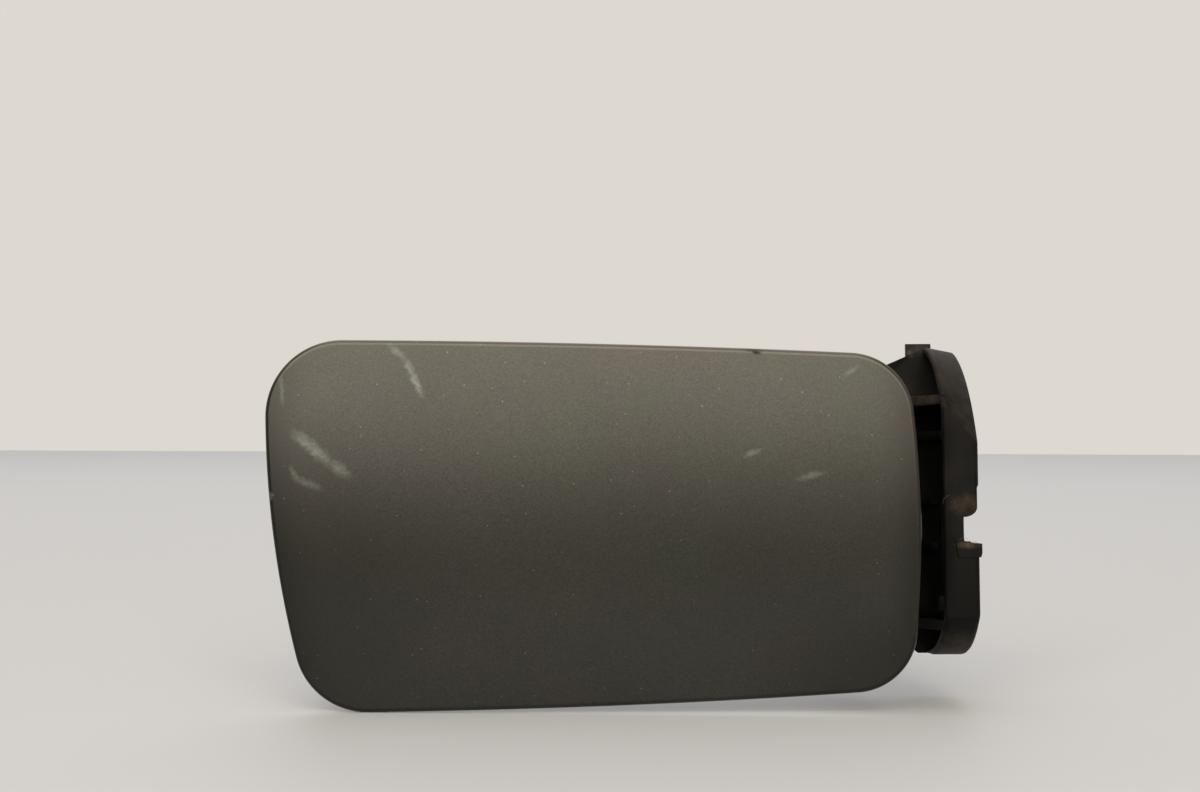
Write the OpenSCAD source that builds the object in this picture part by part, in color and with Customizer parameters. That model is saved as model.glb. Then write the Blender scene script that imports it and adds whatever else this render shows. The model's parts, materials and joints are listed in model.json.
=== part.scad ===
// Car fuel door: a hemmed steel flap on a moulded gooseneck hinge, closed.
// X runs along the flap towards the hinge, Y into the car, Z up.
// The origin is the centre of the two mounting holes, on the back of the housing's flange.

/* [Flap] */
// Width of the flap
flap_w = 212; // [190:1:235]
// Height of the flap at the latch side
flap_h_latch = 120.3; // [112:0.1:130]
// Height of the flap at the hinge side
flap_h_hinge = 109.9; // [102:0.1:120]
// How far the lower latch corner is set in
latch_slant = 9.4; // [0:0.1:16]
// Radius of the upper latch corner
corner_upper_latch = 24.6; // [18:0.1:30]
// Radius of the upper hinge corner
corner_upper_hinge = 21.4; // [18:0.1:28]
// Radius of the lower hinge corner
corner_lower_hinge = 20.6; // [18:0.1:28]
// Radius of the lower latch corner
corner_lower_latch = 23.4; // [18:0.1:30]
// Radius of the top edge's bow
bow_top = 4000; // [1500:50:8000]
// Radius of the bottom edge's bow
bow_bottom = 2750; // [1500:50:8000]
// Radius of the hinge edge's bow
bow_hinge = 380; // [250:5:1200]
// Radius of the latch edge's bow
bow_latch = 350; // [250:5:1200]
// Radius of the outer face's vertical curve
face_r = 800; // [600:10:2000]
// Thickness of the outer sheet
skin_t = 0.9; // [0.7:0.1:1]
// Outer radius of the rolled hem
hem_r = 1.5; // [1.4:0.1:1.8]
// Width of the hem's return leg
hem_w = 9; // [6:0.5:10]

/* [Inner panel] */
// Thickness of the inner sheet
panel_t = 0.8; // [0.6:0.1:0.9]
// Distance from the outer face to the inner panel's flat
panel_rise = 6; // [5.5:0.1:7]
// Width of the ramp from the hem to the flat
ramp_w = 6; // [4:0.5:8]
// Width of the centre recess
recess_w = 92; // [70:1:100]
// Depth of the centre recess
recess_depth = 2.6; // [1.5:0.1:3]
// Radius of the drain holes
drain_r = 2.5; // [1.5:0.5:3.5]

/* [Housing] */
// Gap between the flap's hinge edge and the box's mouth
mouth_gap = 7.6; // [7:0.1:8.6]
// Length of the box from its mouth to its closed end
box_l = 11.6; // [11:0.1:14]
// Rounding of the mouth's lip
mouth_round = 1.2; // [1:0.1:1.5]
// Wall of the housing
wall = 1.8; // [1.5:0.1:2]
// Thickness of the mounting flange
flange_t = 2.5; // [2:0.1:3]
// How far the box's front lies ahead of the flange's back
box_depth = 38; // [36:0.5:44]
// Height of the box's top above the mounting holes' centre
box_top = 51.5; // [46:0.5:56]
// Depth of the box's floor below the mounting holes' centre
box_bottom = 53; // [50:0.5:58]
// Height of the front wall's upper crease at the mouth
crease_mouth = 29.6; // [24:0.1:33]
// Height of the front wall's upper crease at the closed end
crease_end = 18.3; // [12:0.1:23]
// Depth of the front wall's lower crease
crease_lower = 38.5; // [34:0.5:44]
// Rounding of the closed end's edges
end_round = 1.6; // [1:0.1:2]
// Thickness of the bearing shelves
shelf_t = 3; // [2.5:0.1:4]
// Height of the upper shelf's underside
shelf_upper = 30.7; // [28:0.1:34]
// Length of the pin boss under the upper shelf
boss_h = 8; // [7:0.5:10]
// Depth of the lower shelf's top
shelf_lower = 40; // [36:0.5:42]
// Reach of the flange beyond the mounting holes
flange_reach = 12; // [9:0.5:16]
// Width of the notch in the closed end
notch_w = 5.2; // [4:0.1:5.6]
// Height of the notch at the closed end's edge
notch_h = 11.8; // [9:0.1:14]
// Depth of the notch's top below the mounting holes' centre
notch_top = 3; // [2:0.1:6]
// How far the notch's rounded top comes down
notch_fall = 3.2; // [2:0.1:4]
// Height of the snap lug under the notch
lug_h = 4.4; // [4:0.1:6]
// How far the snap lug stands out of the closed end
lug_out = 0.6; // [0.4:0.1:2]
// Width of the locating tab on top
tab_w = 8.6; // [6:0.1:10]
// Height of the locating tab above the box's top
tab_h = 1.4; // [0.8:0.1:3]

/* [Mounting] */
// Distance between the two mounting holes
hole_gap = 52; // [46:1:56]
// Radius of a mounting hole
hole_r = 2.75; // [2.25:0.05:3.25]
// Distance from the mounting holes to the flap's hinge edge
edge_x = 8; // [7:0.1:9]
// How far the flap's outer face lies ahead of the box's front
face_ahead = 3.5; // [3.2:0.1:4.5]
// How far the flap's middle lies below the mounting holes' centre
flap_drop = 7.5; // [4:0.1:11]

/* [Hinge] */
// Distance from the flap's hinge edge to the pivot
pivot_x = 13; // [12.8:0.1:13.2]
// Distance from the flap's outer face to the pivot
pivot_y = 13; // [12:0.1:13.5]
// How far the flap opens, in degrees
open_deg = 80; // [60:1:82]
// Radius of the hinge pins
pin_r = 2; // [1.6:0.05:2.2]
// Running clearance between a pin and its knuckle
pin_fit = 0.06; // [0.02:0.01:0.1]
// Radius of the arm's knuckles
knuckle_r = 3.7; // [3.4:0.1:3.8]
// Height of a knuckle
knuckle_h = 8; // [6:0.5:10]
// Gap between the arm and a shelf
arm_gap = 0.4; // [0.2:0.05:0.8]
// Thickness of the arm's curved wall
arm_t = 3.2; // [2.6:0.1:3.6]
// Distance from the pivot to the arm's leg
neck_reach = 29.7; // [29:0.1:31]
// Least gap between the arm's curve and the flange
neck_space = 4; // [2:0.5:4.5]
// Thickness of the arm's cheeks and foot
foot_t = 3; // [2.5:0.1:3.2]
// Length of the arm's foot along the flap
foot_l = 24; // [22:0.5:28]
// Height of the arm's foot
foot_h = 58; // [50:1:64]
// Thickness of the plate under the arm's foot
plate_t = 1.5; // [1:0.1:1.8]
// Radius of the arm screws' threads
screw_r = 2.5; // [2:0.25:3]

/* [Latch] */
// Height of the latch tongue's base
tongue_h = 30; // [29:1:34]
// How far the latch tongue stands behind the panel
tongue_l = 17; // [14:0.5:22]
// Radius of the latch pin's hole
latch_r = 3.2; // [2.5:0.1:3.5]
// Height of a rubber buffer's head
buffer_h = 6; // [4:0.5:9]
// Radius of a rubber buffer's head
buffer_r = 5.5; // [4.5:0.5:7]

/* [Hidden] */
$fn = 64;

black_plastic = [0.09, 0.09, 0.09];
black_rubber = [0.05, 0.05, 0.05];
grey_green = [0.34, 0.34, 0.30];
zinc = [0.70, 0.70, 0.66];
seat = 0.05;
cut = 1;

// Places that several pieces share
front_y = -box_depth;
face_y = front_y - face_ahead;
pivot = [edge_x + pivot_x, face_y + pivot_y];
panel_back = face_y + panel_rise + panel_t;
plate_back = panel_back + plate_t;
foot_back = plate_back + foot_t;
// The gooseneck runs from the pivot through a quarter turn, a straight and another quarter turn.
// Its curve is the largest that fits the reach and clears the flange.
neck_back = 4.5;
neck_room = -flange_t - neck_space - arm_t / 2 - pivot[1] - neck_back;
neck_r = min(neck_room, (neck_reach * neck_reach + neck_back * neck_back) / (2 * neck_reach));
neck_c = [pivot[0] - sqrt(neck_r * neck_r - neck_back * neck_back), pivot[1] + neck_back];
leg_mid = pivot[0] - neck_reach;
neck_d = [leg_mid + neck_r, neck_c[1]];

// Outline of the flap in the XZ plane: four corner circles joined by bowed edges that touch them
hinge_bow_out = 1.6;
latch_x = edge_x - flap_w;
corner_x = edge_x - hinge_bow_out;
corner_r = [corner_lower_latch, corner_lower_hinge, corner_upper_hinge, corner_upper_latch];
edge_r = [bow_bottom, bow_hinge, bow_top, bow_latch];
corner_c = [
    [latch_x + latch_slant + corner_r[0], -flap_drop - flap_h_latch / 2 + corner_r[0]],
    [corner_x - corner_r[1], -flap_drop - flap_h_hinge / 2 + corner_r[1]],
    [corner_x - corner_r[2], -flap_drop + flap_h_hinge / 2 - corner_r[2]],
    [latch_x + corner_r[3], -flap_drop + flap_h_latch / 2 - corner_r[3]]];

// Centre of the wide arc that touches corner circles a and b from inside
function bow_centre(a, b, big) =
    let (d1 = big - corner_r[a], d2 = big - corner_r[b], gap = corner_c[b] - corner_c[a], d = norm(gap),
        along = (d1 * d1 - d2 * d2 + d * d) / (2 * d), off = sqrt(d1 * d1 - along * along), u = gap / d)
    corner_c[a] + along * u + off * [-u[1], u[0]];
edge_c = [for (i = [0 : 3]) bow_centre(i, (i + 1) % 4, edge_r[i])];

function heading(v) = atan2(v[1], v[0]);
function turn(a, b) = (b - a + 720) % 360;
function arc(c, r, a, b, n, first = 0) =
    [for (i = [first : n - 1]) c + r * [cos(a + turn(a, b) * i / n), sin(a + turn(a, b) * i / n)]];

corner_steps = 10;
edge_steps = 6;
// The outline, set in by a distance
function outline(inset) = [for (i = [0 : 3])
    let (start = heading(corner_c[i] - edge_c[(i + 3) % 4]), end = heading(corner_c[i] - edge_c[i]),
        next = heading(corner_c[(i + 1) % 4] - edge_c[i]))
    each concat(arc(corner_c[i], corner_r[i] - inset, start, end, corner_steps),
        arc(edge_c[i], edge_r[i] - inset, end, next, edge_steps))];
outline_n = 4 * (corner_steps + edge_steps);

face_mid = [(latch_x + edge_x) / 2, -flap_drop];
function shrink(points, k) = [for (p = points) face_mid + k * (p - face_mid)];
function face_at(p) = face_y + pow(p[1] + flap_drop, 2) / (2 * face_r);
function curved_ring(points, depth) = [for (p = points) [p[0], face_at(p) + depth, p[1]]];
function flat_ring(points, y) = [for (p = points) [p[0], y, p[1]]];
// Share of the way from the curved rim to the flat middle
function blend_ring(points, depth, y, k) =
    [for (p = points) [p[0], (1 - k) * (face_at(p) + depth) + k * y, p[1]]];

// Closed solid over rings of equal length, with a point at each end
module lofted(rings, first_tip, last_tip) {
    n = len(rings[0]);
    m = len(rings);
    points = concat([first_tip], [for (r = rings) each r], [last_tip]);
    faces = concat(
        [for (i = [0 : n - 1]) [0, 1 + i, 1 + (i + 1) % n]],
        [for (j = [0 : m - 2], i = [0 : n - 1], half = [0, 1])
            let (a = 1 + j * n + i, b = 1 + j * n + (i + 1) % n)
            half == 0 ? [a, a + n, b] : [b, a + n, b + n]],
        [for (i = [0 : n - 1]) [1 + (m - 1) * n + i, 1 + m * n, 1 + (m - 1) * n + (i + 1) % n]]);
    polyhedron(points = points, faces = faces, convexity = 6);
}

face_rings = [0.3, 0.65];
inner_ring = 17;
module outer_skin() {
    gap_r = hem_r - skin_t;
    back = 2 * hem_r;
    rings = concat(
        [for (k = face_rings) curved_ring(shrink(outline(inner_ring), k), 0)],
        [for (d = [inner_ring, 8]) curved_ring(outline(d), 0)],
        [for (a = [0 : 18 : 180]) curved_ring(outline(hem_r - hem_r * sin(a)), hem_r - hem_r * cos(a))],
        [curved_ring(outline(hem_w), back), curved_ring(outline(hem_w), back - skin_t)],
        [for (a = [180 : -36 : 0]) curved_ring(outline(hem_r - gap_r * sin(a)), hem_r - gap_r * cos(a))],
        [for (d = [8, inner_ring]) curved_ring(outline(d), skin_t)],
        [for (i = [1 : -1 : 0]) curved_ring(shrink(outline(inner_ring), face_rings[i]), skin_t)]);
    color(grey_green)
        lofted(rings, [face_mid[0], face_y, face_mid[1]], [face_mid[0], face_y + skin_t, face_mid[1]]);
}

// Inner panel: hemmed rim, ramp, flat and centre recess
ramp_start = hem_w + 1;
ramp_end = ramp_start + ramp_w;
recess_k = recess_w / 2 / (flap_w / 2 - ramp_end);
recess_step = 0.06;
module inner_panel() {
    edge_gap = hem_r - skin_t;
    rim = hem_r - panel_t / 2;
    flat_y = face_y + panel_rise;
    recess_y = flat_y - recess_depth;
    rim_in = hem_r - edge_gap / 2;
    flat_outline = outline(ramp_end);
    front = concat(
        [flat_ring(shrink(flat_outline, recess_k / 2), recess_y)],
        [flat_ring(shrink(flat_outline, recess_k), recess_y)],
        [flat_ring(shrink(flat_outline, recess_k + recess_step), flat_y)],
        [flat_ring(flat_outline, flat_y)],
        [for (k = [0.8, 0.5, 0.2]) blend_ring(outline(ramp_end - ramp_w * (1 - k)), rim, flat_y, k)],
        [curved_ring(outline(ramp_start), rim), curved_ring(outline(rim_in), rim)]);
    back = [for (i = [len(front) - 1 : -1 : 0]) [for (p = front[i]) p + [0, panel_t, 0]]];
    color(grey_green) difference() {
        lofted(concat(front, back), [face_mid[0], recess_y, face_mid[1]],
            [face_mid[0], recess_y + panel_t, face_mid[1]]);
        screw_places() along_y(panel_back, screw_r + 0.3, 2 * panel_t + cut);
        latch_screw_places() along_y(panel_back, latch_screw_r + 0.15, 2 * panel_t + cut);
        buffer_places() along_y(panel_back, buffer_hole_r, 2 * panel_t + cut);
        cap_rivet_places() along_y(panel_back, rivet_r + seat, recess_depth + 2 * panel_t + cut);
        for (x = drain_x) translate([x, 0, drain_z]) along_y(panel_back, drain_r, 2 * panel_t + cut);
    }
}
drain_in = 61;
drain_x = [latch_x + drain_in, edge_x - drain_in];
drain_z = -flap_drop - flap_h_hinge / 2 + ramp_end + 7;

// A cylinder along Y whose back end lies a little behind y
module along_y(y, r, l) {
    translate([0, y + cut, 0]) rotate([90, 0, 0]) cylinder(r = r, h = l + cut);
}
// A cylinder along Y from y to y + l
module rod_y(y, r, l) {
    translate([0, y + l, 0]) rotate([90, 0, 0]) cylinder(r = r, h = l);
}

// Where the arm's foot is screwed on
foot_x = leg_mid + arm_t / 2 - foot_l;
foot_z = -flap_drop + 3;
screw_x = [foot_x + 5, foot_x + foot_l - 8.5];
screw_z = [foot_z - foot_h / 2 + 8, foot_z + foot_h / 2 - 8];
screw_at = [for (x = screw_x, z = screw_z) [x, z]];
module screw_places() {
    for (p = screw_at) translate([p[0], 0, p[1]]) children();
}

module hinge_plate() {
    margin = 2;
    color(zinc) difference() {
        translate([foot_x - margin, panel_back, foot_z]) rotate([-90, 0, 0]) linear_extrude(plate_t)
            rounded([foot_l + margin - 1, foot_h + 2 * margin], 4);
        screw_places() along_y(plate_back, screw_r + 0.3, plate_t + cut);
    }
}

// A rounded rectangle from x = 0, centred on the other axis
module rounded(size, r) {
    for (dx = [r, size[0] - r], dy = [r - size[1] / 2, size[1] / 2 - r]) translate([dx, dy]) circle(r);
    translate([r, -size[1] / 2]) square([size[0] - 2 * r, size[1]]);
    translate([0, r - size[1] / 2]) square([size[0], size[1] - 2 * r]);
}

// Gooseneck: the curve starts at the pivot and ends over the foot
arm_top = shelf_upper - boss_h - arm_gap;
arm_bottom = -shelf_lower + arm_gap;
arm_h = arm_top - arm_bottom;
cheek_deep = 6.4;
cheek_t = 3;

// Band of the gooseneck's curve from angle a to half a turn, as seen from above
neck_steps = 12;
neck_first = neck_c[0] - neck_d[0] < seat ? 1 : 0;
function ray(a) = [cos(a), sin(a)];
function neck_line(r, a) = concat(
    [for (i = [0 : neck_steps]) neck_c + r * ray(a + (90 - a) * i / neck_steps)],
    [for (i = [neck_first : neck_steps]) neck_d + r * ray(90 + 90 * i / neck_steps)]);
function backwards(points) = [for (i = [len(points) - 1 : -1 : 0]) points[i]];
module neck_band(inner, outer, a) {
    polygon(concat(neck_line(outer, a), backwards(neck_line(inner, a))));
}
module neck_leg(w) {
    translate([leg_mid - arm_t / 2, plate_back]) square([w, neck_c[1] - plate_back]);
}
module cheek_shape() {
    pivot_turn = -asin(neck_back / neck_r);
    neck_band(neck_r + arm_t / 2 - cheek_deep, neck_r + arm_t / 2, pivot_turn + 4);
    neck_leg(cheek_deep);
}
module gooseneck_arm() {
    wall_start = 27;
    color(black_plastic) difference() {
        union() {
            translate([0, 0, arm_bottom]) linear_extrude(arm_h)
                neck_band(neck_r - arm_t / 2, neck_r + arm_t / 2, wall_start);
            translate([0, 0, arm_bottom]) linear_extrude(arm_h) neck_leg(arm_t);
            for (z = [arm_bottom, arm_top - cheek_t]) translate([0, 0, z])
                linear_extrude(cheek_t) cheek_shape();
            for (z = rib_z) translate([0, 0, z]) linear_extrude(rib_t) {
                neck_band(neck_r + arm_t / 2 - cheek_deep, neck_r, wall_start + 8);
                neck_leg(cheek_deep);
            }
            for (z = [arm_bottom, arm_top - knuckle_h]) translate([pivot[0], pivot[1], z])
                cylinder(r = knuckle_r, h = knuckle_h);
            translate([0, 0, heel_z]) linear_extrude(heel_h) heel_shape();
            translate([foot_x, plate_back, foot_z]) rotate([-90, 0, 0]) linear_extrude(foot_t)
                rounded([foot_l, foot_h], 3);
            screw_places() rod_y(plate_back, screw_r + 2.7, foot_t + boss_up);
        }
        translate([pivot[0], pivot[1], arm_bottom - cut]) cylinder(r = pin_r + pin_fit, h = arm_h + 2 * cut);
        screw_places() along_y(foot_back + boss_up, screw_r + 0.25, foot_t + boss_up + cut);
    }
}
rib_t = 2.2;
rib_z = [arm_bottom + arm_h * 0.36, arm_bottom + arm_h * 0.64 - rib_t];
boss_up = 1;

// Heel on the lower knuckle that meets the stop buffer when the flap is open
stop_r = 1.8;
stop_reach = 5.7;
stop_turn = -72;
heel_w = 3;
heel_reach = 6.4;
heel_h = 5;
heel_z = arm_bottom + 2.5;
stop_base = heel_z - 0.5;
heel_turn = stop_turn - asin((stop_r + heel_w / 2) / stop_reach) - open_deg - 4;
module heel_shape() {
    translate(pivot) rotate(heel_turn) translate([0, -heel_w / 2]) square([heel_reach - heel_w / 2, heel_w]);
    translate(pivot) rotate(heel_turn) translate([heel_reach - heel_w / 2, 0]) circle(heel_w / 2);
}
stop_c = pivot + stop_reach * [cos(stop_turn), sin(stop_turn)];
module stop_buffer() {
    color(black_rubber) translate([stop_c[0], stop_c[1], stop_base]) cylinder(r = stop_r, h = heel_h + 1);
}

// Screws and nuts of the foot
head_h = 2.6;
// How far a shank runs into its head
bite = 0.2;
nut_h = 3.6;
nut_r = 4.6;
module arm_screw(i) {
    head_y = foot_back + boss_up;
    color(zinc) translate([screw_at[i][0], 0, screw_at[i][1]]) {
        rod_y(face_y + skin_t + 1, screw_r - seat, head_y - face_y - skin_t - 1 + bite);
        difference() {
            translate([0, head_y, 0]) rotate([-90, 0, 0]) rotate_extrude()
                polygon([[0, 0], [screw_r * 2, 0], [screw_r * 2, 0.6], [screw_r * 1.5, head_h], [0, head_h]]);
            translate([0, head_y + head_h + cut, 0]) rotate([90, 0, 0])
                cylinder(r = screw_r * 0.7, h = 1.4 + cut, $fn = 6);
        }
    }
}
module weld_nut(i) {
    color(zinc) translate([screw_at[i][0], face_y + panel_rise, screw_at[i][1]]) rotate([90, 0, 0])
        difference() {
            cylinder(r = nut_r, h = nut_h, $fn = 6);
            translate([0, 0, -cut]) cylinder(r = screw_r, h = nut_h + 2 * cut);
        }
}

// Side profile of the box in the YZ plane
roof_steps = 12;
// An arc from p to q that bulges to the left by sag
function bulge(p, q, sag, n) =
    let (d = norm(q - p), r = d * d / (8 * sag) + sag / 2, u = (q - p) / d, mid = (p + q) / 2,
        c = mid + (r - sag) * [u[1], -u[0]], a = heading(p - c), b = heading(q - c),
        sweep = -turn(b, a))
    [for (i = [0 : n]) c + r * [cos(a + sweep * i / n), sin(a + sweep * i / n)]];
// How much lower the box's top is at the closed end
end_fall = 1.5;
roof_sag_mouth = 6;
roof_sag_end = 5;
floor_sag = 3.4;
// Where the floor's curve leaves its flat part at the flange
floor_flat = 8.5;
function profile(crease, top, sag) = concat(
    bulge([front_y, crease], [0, top], sag, roof_steps),
    bulge([-floor_flat, -box_bottom], [front_y, -crease_lower], floor_sag, roof_steps));
// The profile set in by d; its arcs are close to circles about a point inside
function profile_in(points, d) =
    let (n = len(points))
    [for (i = [0 : n - 1])
        let (a = points[(i + n - 1) % n], p = points[i], b = points[(i + 1) % n],
            u = (p - a) / norm(p - a), v = (b - p) / norm(b - p), m = [u[1], -u[0]] + [v[1], -v[0]])
        p + m * d * 2 / (m * m)];
mouth_profile = profile(crease_mouth, box_top, roof_sag_mouth);
end_profile = profile(crease_end, box_top - end_fall, roof_sag_end);
mouth_x = edge_x + mouth_gap;
end_x = mouth_x + box_l;
box_h = box_top + box_bottom;

// A thin slice of the box across X
slice_t = 0.01;
module slice(x, points) {
    translate([x, 0, 0]) rotate([90, 0, 90]) linear_extrude(slice_t)
        polygon(concat(points, [[0, -box_bottom]]));
}
module box_solid() {
    hull() for (a = [0 : 30 : 90]) {
        slice(mouth_x + mouth_round * (1 - sin(a)), profile_in(mouth_profile, mouth_round * (1 - cos(a))));
        slice(end_x - slice_t - end_round * (1 - sin(a)), profile_in(end_profile, end_round * (1 - cos(a))));
    }
}
module box_hollow() {
    hull() {
        slice(mouth_x - cut, profile_in(mouth_profile, wall));
        slice(end_x - wall, profile_in(end_profile, wall));
    }
}
// The flange tapers at its free end
taper_run = 3;
taper_upper = [11, 15];
taper_lower = [18, 22];
module flange_shape() {
    polygon([[end_x - end_round, box_top - end_fall - end_round], [mouth_x + mouth_round, box_top],
        [taper_run - flange_reach, box_top - taper_upper[0]], [-flange_reach, box_top - taper_upper[1]],
        [-flange_reach, taper_lower[1] - box_bottom], [taper_run - flange_reach, taper_lower[0] - box_bottom],
        [mouth_x - taper_run, -box_bottom], [end_x - end_round, -box_bottom]]);
}
// A shelf tapers off along the flange
shelf_x = edge_x - flange_reach;
module shelf() {
    linear_extrude(shelf_t) polygon([[mouth_x + mouth_round, front_y + wall], [end_x - wall, front_y + wall],
        [end_x - wall, -flange_t], [shelf_x, -flange_t]]);
}
module hinge_box() {
    color(black_plastic) difference() {
        union() {
            difference() {
                box_solid();
                intersection() {
                    box_hollow();
                    translate([mouth_x - 2 * cut, front_y, -box_bottom])
                        cube([box_l * 2, box_depth - flange_t, box_h]);
                }
            }
            rotate([90, 0, 0]) linear_extrude(flange_t) flange_shape();
            intersection() {
                union() {
                    translate([0, 0, shelf_upper]) shelf();
                    translate([0, 0, -shelf_lower - shelf_t]) shelf();
                }
                union() {
                    box_solid();
                    translate([shelf_x, front_y + wall, -box_bottom])
                        cube([mouth_x + mouth_round - shelf_x, box_depth, box_h]);
                }
            }
            translate([pivot[0], pivot[1], shelf_upper - boss_h]) cylinder(r = knuckle_r, h = boss_h);
            translate([stop_c[0], stop_c[1], -shelf_lower - 1])
                cylinder(r = stop_r, h = stop_base + shelf_lower + 1);
            snap_lug();
            locating_tab();
        }
        for (z = [-1, 1]) translate([0, 0, z * hole_gap / 2]) along_y(0, hole_r, flange_t + cut);
        translate([pivot[0], pivot[1], upper_seat]) mirror([0, 0, 1]) cylinder(r = pin_r, h = boss_h + cut);
        translate([pivot[0], pivot[1], -shelf_lower - shelf_t]) cylinder(r = pin_r, h = shelf_t + cut);
        end_notch();
        rivet_hole();
    }
}
// The notch, seen from the front: a shallow step above it, a rounded top and a sill that falls to the lug
step_in = 0.7;
step_h = 7.6;
sill_fall = 0.7;
notch_sill = -notch_top - notch_h + sill_fall;
notch_in = end_x - notch_w;
notch_shape = concat(
    [[end_x + lug_out + cut, step_h - notch_top], [end_x, step_h - notch_top],
        [end_x - step_in, step_h - notch_top - 2 * step_in]],
    [for (a = [0 : 15 : 90]) [notch_in + (notch_w - step_in) * cos(a), -notch_top - notch_fall * sin(a)]],
    [[notch_in, notch_sill], [notch_in + notch_w * 0.35, notch_sill],
        [notch_in + notch_w * 0.6, notch_sill - sill_fall], [end_x + lug_out + cut, notch_sill - sill_fall]]);
module end_notch() {
    translate([0, cut, 0]) rotate([90, 0, 0]) linear_extrude(box_depth + 3 * cut) polygon(notch_shape);
}
// The lug is a pad on the front wall with a rib at its inner side
lug_in = notch_in - 2.8;
lug_deep = 9;
lug_proud = 0.5;
rib_proud = 0.9;
lug_rib = 0.9;
lug_low = notch_sill - sill_fall - lug_h;
module snap_lug() {
    translate([0, front_y + lug_deep, 0]) rotate([90, 0, 0]) linear_extrude(lug_deep + lug_proud)
        polygon([[lug_in + lug_rib, notch_sill + sill_fall], [end_x + lug_out, notch_sill + sill_fall],
            [end_x + lug_out, lug_low + lug_h * 0.3], [end_x + lug_out * 0.3, lug_low],
            [lug_in + lug_rib, lug_low]]);
    translate([0, front_y + wall, 0]) rotate([90, 0, 0]) linear_extrude(wall + rib_proud)
        polygon([[lug_in, notch_sill + sill_fall], [lug_in + lug_rib, notch_sill + sill_fall],
            [lug_in + 2 * lug_rib, lug_low], [lug_in + lug_rib, lug_low]]);
}
// The tab stands on the flange's slanting edge and leans back from the flange's front
tab_back = 5.6;
tab_x = mouth_x - tab_back;
flange_fall = taper_upper[0] / (mouth_x + mouth_round - taper_run + flange_reach);
tab_low = box_top - (tab_back + mouth_round) * flange_fall;
tab_lean = 2;
tab_proud = 0.6;
module locating_tab() {
    intersection() {
        translate([tab_x, 0, 0]) rotate([90, 0, 90]) linear_extrude(tab_w)
            polygon([[-flange_t - tab_proud, tab_low - seat], [0, tab_low - seat], [0, box_top + tab_h],
                [-flange_t - tab_proud + tab_lean, box_top + tab_h]]);
        translate([0, cut, 0]) rotate([90, 0, 0]) linear_extrude(box_depth)
            polygon([[tab_x, tab_low - seat], [mouth_x + mouth_round, box_top - seat],
                [tab_x + tab_w, box_top - seat], [tab_x + tab_w, box_top + tab_h], [tab_x, box_top + tab_h]]);
    }
}

// Pins, clips, leaf spring and its rivet
clip_t = 0.8;
pin_over = 1.6;
upper_seat = shelf_upper + 0.5;
lower_seat = -shelf_lower - shelf_t;
upper_end = arm_top - knuckle_h - pin_over;
lower_end = arm_bottom + knuckle_h + pin_over;
module hinge_pin(from, to) {
    tip = 0.4;
    r = pin_r - 0.01;
    color(zinc) translate([pivot[0], pivot[1], from]) rotate_extrude()
        polygon([[0, 0], [r - tip, 0], [r, tip], [r, to - from - tip], [r - tip, to - from], [0, to - from]]);
}
module pin_clip(z) {
    color(zinc) translate([pivot[0], pivot[1], z]) difference() {
        cylinder(r = pin_r + 1.4, h = clip_t);
        translate([0, 0, -cut]) cylinder(r = pin_r, h = clip_t + 2 * cut);
    }
}
rivet_r = 1.2;
rivet_y = -9;
rivet_z = arm_top - knuckle_h / 2;
leaf_t = 0.4;
leaf_w = 7;
module rivet_hole() {
    translate([end_x - 2 * wall, rivet_y, rivet_z]) rotate([0, 90, 0]) cylinder(r = rivet_r, h = 4 * wall);
}
module leaf_spring() {
    wall_x = end_x - wall - seat;
    near_x = pivot[0] + knuckle_r + 0.15;
    lift = wall_x - leaf_t - near_x;
    outer = [[wall_x, rivet_y + 4], [wall_x, rivet_y - 6], [wall_x - lift, pivot[1] + 2],
        [wall_x - lift, pivot[1] - 2]];
    inner = [for (i = [3 : -1 : 0]) outer[i] - [leaf_t, 0]];
    color(zinc) difference() {
        translate([0, 0, rivet_z - leaf_w / 2]) linear_extrude(leaf_w) polygon(concat(outer, inner));
        rivet_hole();
    }
}
module spring_rivet() {
    inner_x = end_x - wall - seat - leaf_t;
    rivet_head = 0.8;
    color(zinc) translate([0, rivet_y, rivet_z]) rotate([0, 90, 0]) {
        translate([0, 0, inner_x - bite]) cylinder(r = rivet_r - 0.01, h = end_x - inner_x + 2 * bite);
        translate([0, 0, inner_x - rivet_head]) cylinder(r = rivet_r * 1.9, h = rivet_head);
        translate([0, 0, end_x]) cylinder(r = rivet_r * 1.9, h = rivet_head);
    }
}

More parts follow.
